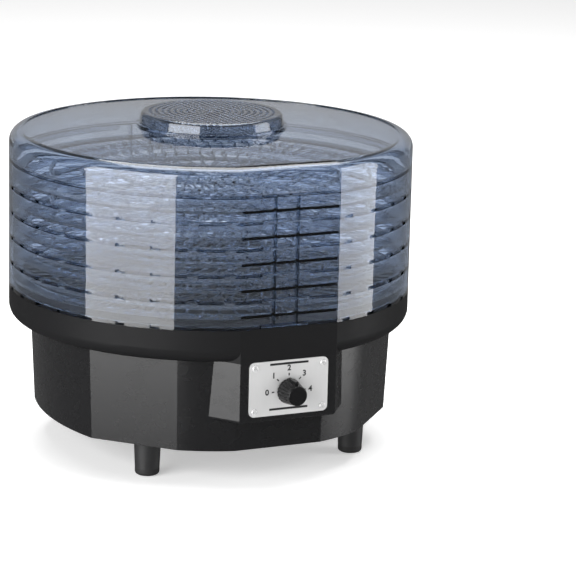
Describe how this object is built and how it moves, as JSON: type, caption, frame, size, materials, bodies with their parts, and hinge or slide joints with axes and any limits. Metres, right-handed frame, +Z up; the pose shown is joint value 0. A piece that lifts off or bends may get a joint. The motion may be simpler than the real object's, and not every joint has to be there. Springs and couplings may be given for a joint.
{
  "type": "food dehydrator",
  "caption": "Round food dehydrator: dark fan-and-heater base on feet, stack of clear smoke-tinted slatted trays, lid with a turning vent cap, and a front dial.",
  "frame": {"origin": "on the table, under the middle of the whole outline from the knob's tip to the back of the trays", "axes": "+Z up, front with the dial towards -Y, +X to the right of someone who faces the back"},
  "size_m": [0.34, 0.354, 0.2814],
  "materials": {
    "smoked_plastic": "clear smoke-blue moulded plastic, glossy",
    "satin_black_plastic": "fine satin moulding",
    "black_plastic": "fine matt moulding",
    "black_rubber": "matt",
    "knob_plastic": "satin",
    "brushed_aluminium": "fine upright brushing, satin",
    "polished_steel": "bright",
    "zinc_steel": "zinc plated",
    "motor_laminations": "stacked sheet, oiled",
    "turned_steel": "turned",
    "coil_tape": "wrapped tape",
    "fan_plastic": "matt moulding",
    "mica_board": "sheet",
    "heater_wire": "oxidised",
    "thermostat_metal": "pressed"
  },
  "bodies": {
    "base": {"air_deck": "black_plastic", "air_duct": "black_plastic", "base_body_front": "satin_black_plastic", "base_body_left": "satin_black_plastic", "base_body_right": "satin_black_plastic", "base_rim": "satin_black_plastic", "bottom_cover": "black_plastic", "control_plate": "brushed_aluminium", "cord_gland": "black_rubber", "cover_screws": "zinc_steel", "deck_screws": "zinc_steel", "duct_screws": "zinc_steel", "foot_front_left": "black_plastic", "foot_front_right": "black_plastic", "foot_pad_front_left": "black_rubber", "foot_pad_front_right": "black_rubber", "foot_pad_rear_left": "black_rubber", "foot_pad_rear_right": "black_rubber", "foot_rear_left": "black_plastic", "foot_rear_right": "black_plastic", "foot_screws": "zinc_steel", "heater_coils": "heater_wire", "heater_frame": "mica_board", "motor_bracket_lower": "zinc_steel", "motor_bracket_upper": "zinc_steel", "motor_coil": "coil_tape", "motor_core": "motor_laminations", "motor_screws": "zinc_steel", "outlet_collar": "black_plastic", "outlet_grille": "black_plastic", "plate_screws": "polished_steel", "switch_body": "black_plastic", "switch_nut": "zinc_steel", "terminal_block": "black_plastic", "thermal_fuse": "thermostat_metal", "thermostat": "thermostat_metal"},
    "fan": {"motor_rotor": "turned_steel", "motor_shaft": "turned_steel", "fan_blades": "fan_plastic", "fan_clip": "zinc_steel"},
    "selector_knob": {"knob": "knob_plastic", "switch_shaft": "zinc_steel"},
    "tray_1": {"tray_1": "smoked_plastic", "tray_1_floor": "smoked_plastic"},
    "tray_2": {"tray_2": "smoked_plastic", "tray_2_floor": "smoked_plastic"},
    "tray_3": {"tray_3": "smoked_plastic", "tray_3_floor": "smoked_plastic"},
    "tray_4": {"tray_4": "smoked_plastic", "tray_4_floor": "smoked_plastic"},
    "tray_5": {"tray_5": "smoked_plastic", "tray_5_floor": "smoked_plastic"},
    "lid": {"lid": "smoked_plastic", "lid_top": "smoked_plastic"},
    "vent": {"vent_cap": "smoked_plastic", "vent_pivot": "smoked_plastic"}
  },
  "joints": [
    {"name": "knob_turn", "type": "hinge", "parent": "base", "child": "selector_knob", "pos_m": [0, -0.15754, 0.081], "axis": [0, -1, 0], "range_deg": [-90, 90]},
    {"name": "fan_spin", "type": "hinge", "parent": "base", "child": "fan", "pos_m": [0, 0.00704, 0.06], "axis": [0, 0, 1], "continuous": true},
    {"name": "tray_1_lift", "type": "slide", "parent": "base", "child": "tray_1", "axis": [0, 0, 1], "range_m": [0, 0.06]},
    {"name": "tray_2_lift", "type": "slide", "parent": "tray_1", "child": "tray_2", "axis": [0, 0, 1], "range_m": [0, 0.06]},
    {"name": "tray_3_lift", "type": "slide", "parent": "tray_2", "child": "tray_3", "axis": [0, 0, 1], "range_m": [0, 0.06]},
    {"name": "tray_4_lift", "type": "slide", "parent": "tray_3", "child": "tray_4", "axis": [0, 0, 1], "range_m": [0, 0.06]},
    {"name": "tray_5_lift", "type": "slide", "parent": "tray_4", "child": "tray_5", "axis": [0, 0, 1], "range_m": [0, 0.06]},
    {"name": "lid_lift", "type": "slide", "parent": "tray_5", "child": "lid", "axis": [0, 0, 1], "range_m": [0, 0.08]},
    {"name": "vent_turn", "type": "hinge", "parent": "lid", "child": "vent", "pos_m": [0, 0.00704, 0.272], "axis": [0, 0, 1], "range_deg": [0, 60]}
  ]
}
